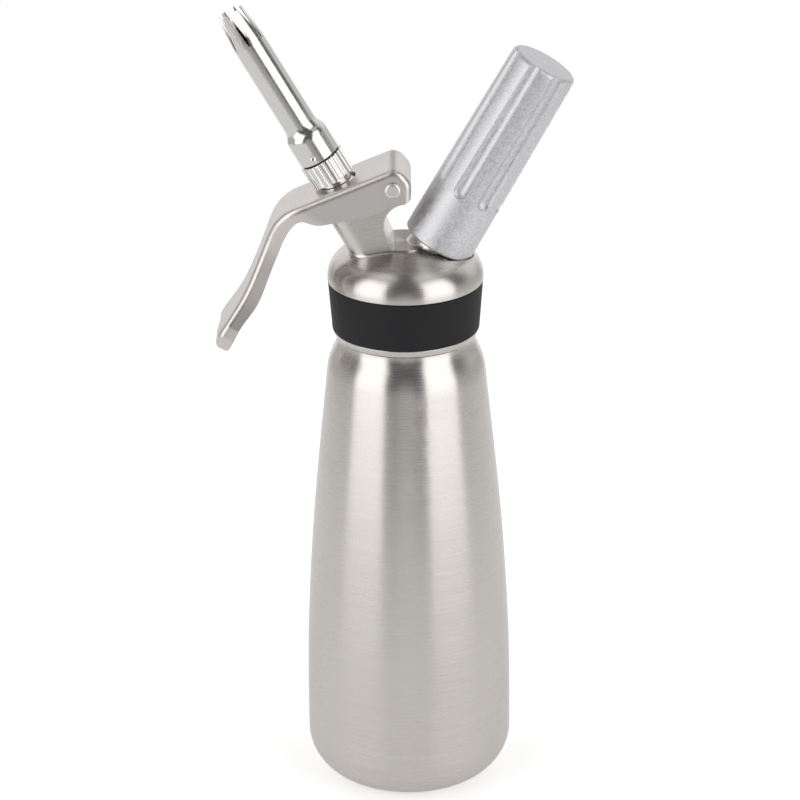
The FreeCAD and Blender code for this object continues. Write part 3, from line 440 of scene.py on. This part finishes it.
def spring_climb(turn):
    """Height along the valve's arm at a turn of the spring, whose end coils are closed."""
    tight = 2 * WIRE_R + CLOSED_GAP
    foot, top = SPRING_FOOT + WIRE_R, SPRING_TOP - WIRE_R
    open_pitch = (top - foot - 2 * CLOSED_TURNS * tight) / ACTIVE_TURNS
    open_turns = min(max(turn - CLOSED_TURNS, 0), ACTIVE_TURNS)
    last_turns = max(turn - CLOSED_TURNS - ACTIVE_TURNS, 0)
    return foot + tight * min(turn, CLOSED_TURNS) + open_pitch * open_turns + tight * last_turns


def wire_section():
    """Corners of the wire's round section, at the spring's radius."""
    angles = [2 * math.pi * i / WIRE_CORNERS for i in range(WIRE_CORNERS)]
    return [(SPRING_R + WIRE_R * math.cos(angle), WIRE_R * math.sin(angle)) for angle in angles]


def spring():
    """Compression spring with closed ends, between the floor of its well and the collar."""
    place = placed_on(VALVE_ARM)
    turns = 2 * CLOSED_TURNS + ACTIVE_TURNS
    coil = helix("valve_spring_coil", wire_section(), turns, spring_climb, place, wire_steel)
    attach(coil, "head")
    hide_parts("valve_spring")
    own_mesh(coil)


thread("neck_thread", NECK_THREAD, BOTTLE_AXIS, "head_lift", "bottle", bottle_steel)
thread("spigot_thread", SPIGOT_THREAD, VALVE_ARM, "nozzle_rise", "valve", bright_steel)
thread("gas_spigot_thread", GAS_THREAD, GAS_ARM, "charger_rise", "head", head_steel)
spring()


# ---- stage: light levels, where 1 is white ----------------------------------------------------
BOX = 1.75                # the two soft boxes in front
SWEEP = 0.85              # sides towards the back, and overhead
BACKDROP = 0.95           # straight behind
LOW = 0.52                # below the horizon
DARK = 0.12               # room in front, between the boxes, and the strip above the backdrop
FRONT = 0.42              # pale patch straight in front
FLOOR_GLOW = 0.50
SEEN_IN_METAL = 0.45      # share of the floor's glow that a reflection shows
TABLE_R = 0.66            # metres

# ---- stage: where the lights are ---------------------------------------------------------------
# A turn is in degrees, to the right of straight in front. X, Y and Z are those of the way to a light,
# which is 1 long.
LEFT_BOX_TURN = (-78, -31)
RIGHT_BOX_TURN = (27, 75)
BOX_Z = (-0.32, 0.80)
GAP_Z = (-0.42, 0.02)     # the dark between the boxes comes in over this stretch
FRONT_TURN = (-11, 11)
FRONT_Z = (-0.30, 0.14)
STRIP_X = (-0.13, 0.13)
STRIP_Z = (0.30, 0.40)
SIDES_Y = (0.0, 0.55)
BACKDROP_Y = (0.78, 0.93)
HORIZON_Z = (-0.05, 0.30)
OVERHEAD_Z = (0.80, 0.97)
SOFT_TURN = 0.07          # half the width of a fading edge, in radians
SOFT_EDGE = 0.08          # the same in X or Z
SOFT_FRONT = 0.10


def seen_directly(tree):
    """One where a ray comes from the camera, and a share of that where it comes from metal or glass."""
    path = add(tree, "ShaderNodeLightPath").outputs
    indirect = calc(tree, "MAXIMUM", path["Is Glossy Ray"], path["Is Transmission Ray"])
    return calc(tree, "MAXIMUM", path["Is Camera Ray"], calc(tree, "MULTIPLY", indirect, SEEN_IN_METAL))


def pale_table():
    """Material that reads white and keeps the shadow."""
    material = bpy.data.materials.new("floor_white")
    tree = new_tree(material)
    grain = noise(tree, object_place(tree), scale=30.0)
    colour = blend_colour(tree, grain, (0.88, 0.88, 0.88), (0.9, 0.9, 0.9))
    paint = add(tree, "ShaderNodeBsdfDiffuse", {"Color": colour})
    strength = calc(tree, "MULTIPLY", seen_directly(tree), FLOOR_GLOW)
    glow = add(tree, "ShaderNodeEmission", {"Strength": strength})
    both = add(tree, "ShaderNodeAddShader", {0: paint.outputs[0], 1: glow.outputs[0]})
    add(tree, "ShaderNodeOutputMaterial", {"Surface": both.outputs[0]})
    return material


def floor():
    """Round table top."""
    shape = bmesh.new()
    bmesh.ops.create_circle(shape, cap_ends=True, segments=TABLE_CORNERS, radius=TABLE_R)
    ground = new_piece("floor", shape, pale_table())


def fade_in(tree, value, stretch):
    """Goes softly from nothing to one over a stretch of the value."""
    return spread(tree, value, *stretch, 0.0, 1.0, smooth=True)


def window(tree, value, bounds, soft):
    """One between two bounds, fading to nothing outside them."""
    low, high = bounds
    rise = fade_in(tree, value, (low - soft, low + soft))
    fall = spread(tree, value, high - soft, high + soft, 1.0, 0.0, smooth=True)
    return calc(tree, "MULTIPLY", rise, fall)


def sector(tree, azimuth, degrees):
    """One between two turns, given in degrees."""
    return window(tree, azimuth, [math.radians(turn) for turn in degrees], SOFT_TURN)


def room_level(tree, x, y, z, azimuth):
    """Light of the room without its soft boxes."""
    upper = blend_level(tree, fade_in(tree, y, SIDES_Y), DARK, SWEEP)
    upper = blend_level(tree, fade_in(tree, z, OVERHEAD_Z), upper, SWEEP)
    room = blend_level(tree, fade_in(tree, z, HORIZON_Z), LOW, upper)
    room = blend_level(tree, fade_in(tree, y, BACKDROP_Y), room, BACKDROP)
    between_boxes = sector(tree, azimuth, (LEFT_BOX_TURN[1], RIGHT_BOX_TURN[0]))
    gap = calc(tree, "MULTIPLY", between_boxes, fade_in(tree, z, GAP_Z))
    room = blend_level(tree, gap, room, DARK)
    front = calc(tree, "MULTIPLY", sector(tree, azimuth, FRONT_TURN), window(tree, z, FRONT_Z, SOFT_FRONT))
    room = blend_level(tree, front, room, FRONT)
    strip = calc(tree, "MULTIPLY", window(tree, x, STRIP_X, SOFT_EDGE), fade_in(tree, z, STRIP_Z))
    return blend_level(tree, strip, room, DARK)


def studio():
    """World that the camera sees as white, and that lights the object with a photographer's studio."""
    world = bpy.data.worlds.new("studio")
    bpy.context.scene.world = world
    tree = new_tree(world)
    x, y, z = split(tree, add(tree, "ShaderNodeTexCoord").outputs["Generated"])
    azimuth = calc(tree, "ARCTAN2", x, calc(tree, "MULTIPLY", y, -1.0))
    left_box = sector(tree, azimuth, LEFT_BOX_TURN)
    right_box = sector(tree, azimuth, RIGHT_BOX_TURN)
    either_box = calc(tree, "MAXIMUM", left_box, right_box)
    boxes = calc(tree, "MULTIPLY", either_box, window(tree, z, BOX_Z, SOFT_EDGE))
    light = blend_level(tree, boxes, room_level(tree, x, y, z, azimuth), BOX)
    shown = add(tree, "ShaderNodeLightPath").outputs["Is Camera Ray"]
    strength = blend_level(tree, shown, light, 1.0)
    glow = add(tree, "ShaderNodeBackground", {"Color": (1, 1, 1, 1), "Strength": strength})
    add(tree, "ShaderNodeOutputWorld", {"Surface": glow.outputs[0]})


# ---- camera, fitted to the photograph ----------------------------------------------------------
EYE = (-0.0026, -1.3, 0.711)
PITCH = math.radians(22.93)
ROLL = math.radians(0.55)
FOCAL_PIXELS = 3573.0     # focal length, in pixels of a photograph that is PHOTO_PIXELS wide
PHOTO_PIXELS = 800.0
SENSOR_WIDTH = 36.0


def camera():
    """Long lens from the front, looking down a little."""
    forward = Vector((0, math.cos(PITCH), -math.sin(PITCH)))
    up = Vector((0, math.sin(PITCH), math.cos(PITCH)))
    right = Vector((1, 0, 0))
    across = right * math.cos(ROLL) - up * math.sin(ROLL)
    upward = right * math.sin(ROLL) + up * math.cos(ROLL)
    turn = Matrix((across, upward, -forward)).transposed().to_4x4()
    data = bpy.data.cameras.new("camera")
    data.sensor_width = SENSOR_WIDTH
    data.lens = FOCAL_PIXELS / PHOTO_PIXELS * data.sensor_width
    eye = bpy.data.objects.new("camera", data)
    bpy.context.scene.collection.objects.link(eye)
    eye.matrix_world = Matrix.Translation(EYE) @ turn
    bpy.context.scene.camera = eye


floor()
studio()
camera()
bpy.context.scene.view_settings.view_transform = "Standard"
